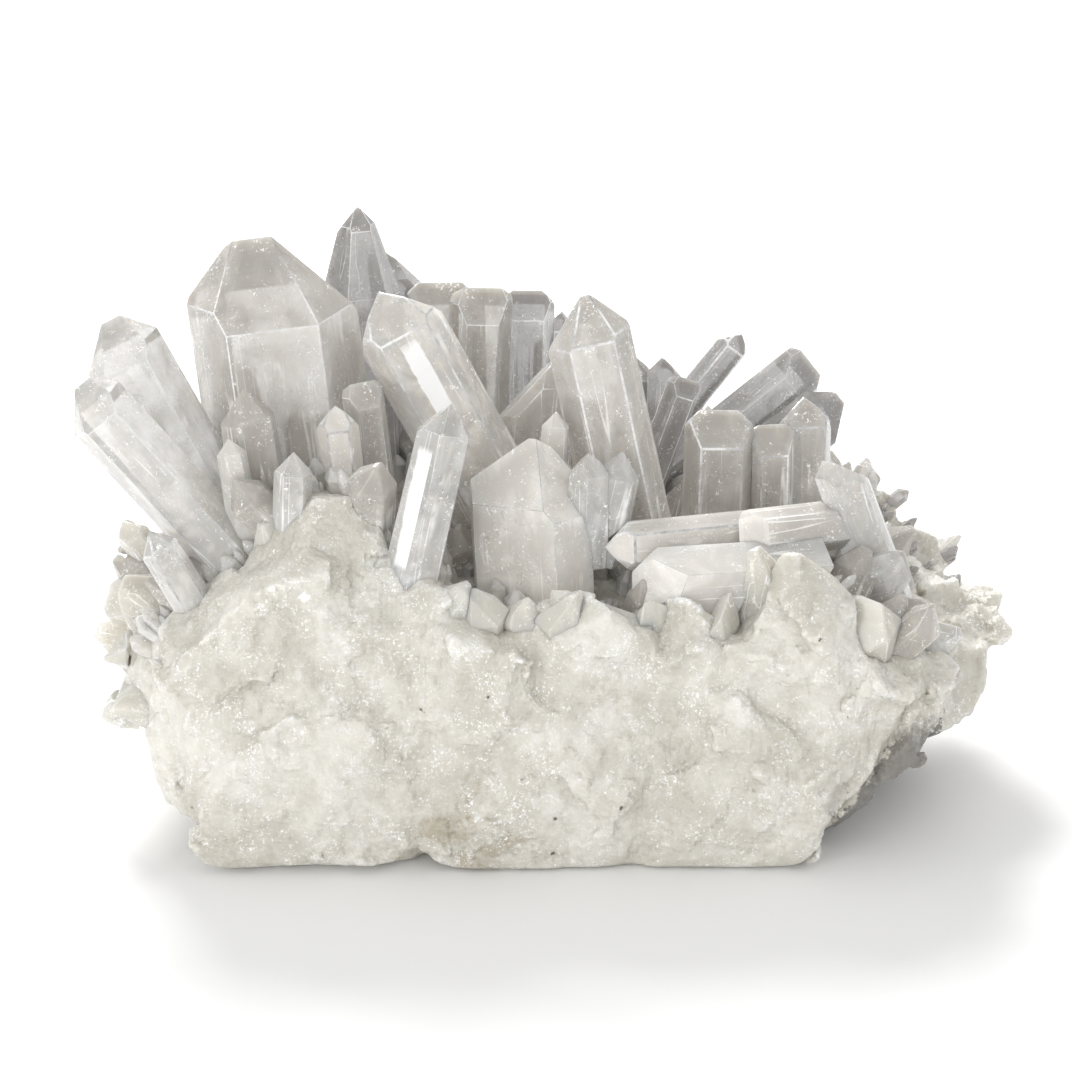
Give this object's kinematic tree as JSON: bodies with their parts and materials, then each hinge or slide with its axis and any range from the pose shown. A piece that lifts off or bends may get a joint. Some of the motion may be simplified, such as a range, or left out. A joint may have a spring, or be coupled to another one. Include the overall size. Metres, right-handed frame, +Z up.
{
  "type": "quartz crystal cluster",
  "caption": "Natural quartz crystal cluster: clear to milky six-sided points grown from a broken, sugary cream-white matrix that stands on a flat patch.",
  "frame": {"origin": "middle of the object's box at the level of the flat patch that it stands on", "axes": "+X along the longest side, to the right seen from the low front wall; -Y out of that front wall; +Z up"},
  "size_m": [0.147, 0.0848, 0.0901],
  "materials": {
    "milky_quartz": "broken granular milky quartz, cream white with frosty patches, tiny glints and a few brown specks",
    "clear_quartz": "clear to smoky grey rock crystal with natural glossy faces, growth lines, veils inside and milky roots"
  },
  "bodies": {
    "root": {"back_block_a": "clear_quartz", "back_block_b": "clear_quartz", "back_left_shoulder": "clear_quartz", "back_left_spire": "clear_quartz", "back_right_a": "clear_quartz", "back_right_b": "clear_quartz", "back_right_c": "clear_quartz", "back_right_d": "clear_quartz", "back_rough_a": "clear_quartz", "back_rough_b": "clear_quartz", "back_slope_a": "clear_quartz", "back_slope_b": "clear_quartz", "back_slope_c": "clear_quartz", "back_slope_d": "clear_quartz", "back_slope_e": "clear_quartz", "back_slope_f": "clear_quartz", "back_slope_g": "clear_quartz", "back_slope_h": "clear_quartz", "centre_back_plate": "clear_quartz", "dark_back_a": "clear_quartz", "dark_back_b": "clear_quartz", "dark_back_c": "clear_quartz", "front_blade": "clear_quartz", "front_centre": "clear_quartz", "front_slab": "clear_quartz", "giant_left": "clear_quartz", "left_low": "clear_quartz", "left_side_a": "clear_quartz", "left_side_b": "clear_quartz", "left_side_c": "clear_quartz", "left_side_d": "clear_quartz", "main_centre": "clear_quartz", "matrix": "milky_quartz", "mid_left_back": "clear_quartz", "mid_left_point": "clear_quartz", "mid_right_a": "clear_quartz", "mid_right_b": "clear_quartz", "outer_left_lower": "clear_quartz", "outer_left_upper": "clear_quartz", "reclining_a": "clear_quartz", "reclining_b": "clear_quartz", "right_rhomb": "clear_quartz", "right_upright": "clear_quartz", "right_wedge": "clear_quartz", "small_left_of_main": "clear_quartz", "small_upright_left": "clear_quartz", "spear_left": "clear_quartz", "spear_left_small": "clear_quartz", "twin_left": "clear_quartz", "twin_right": "clear_quartz", "window_crystal": "clear_quartz"}
  },
  "joints": []
}
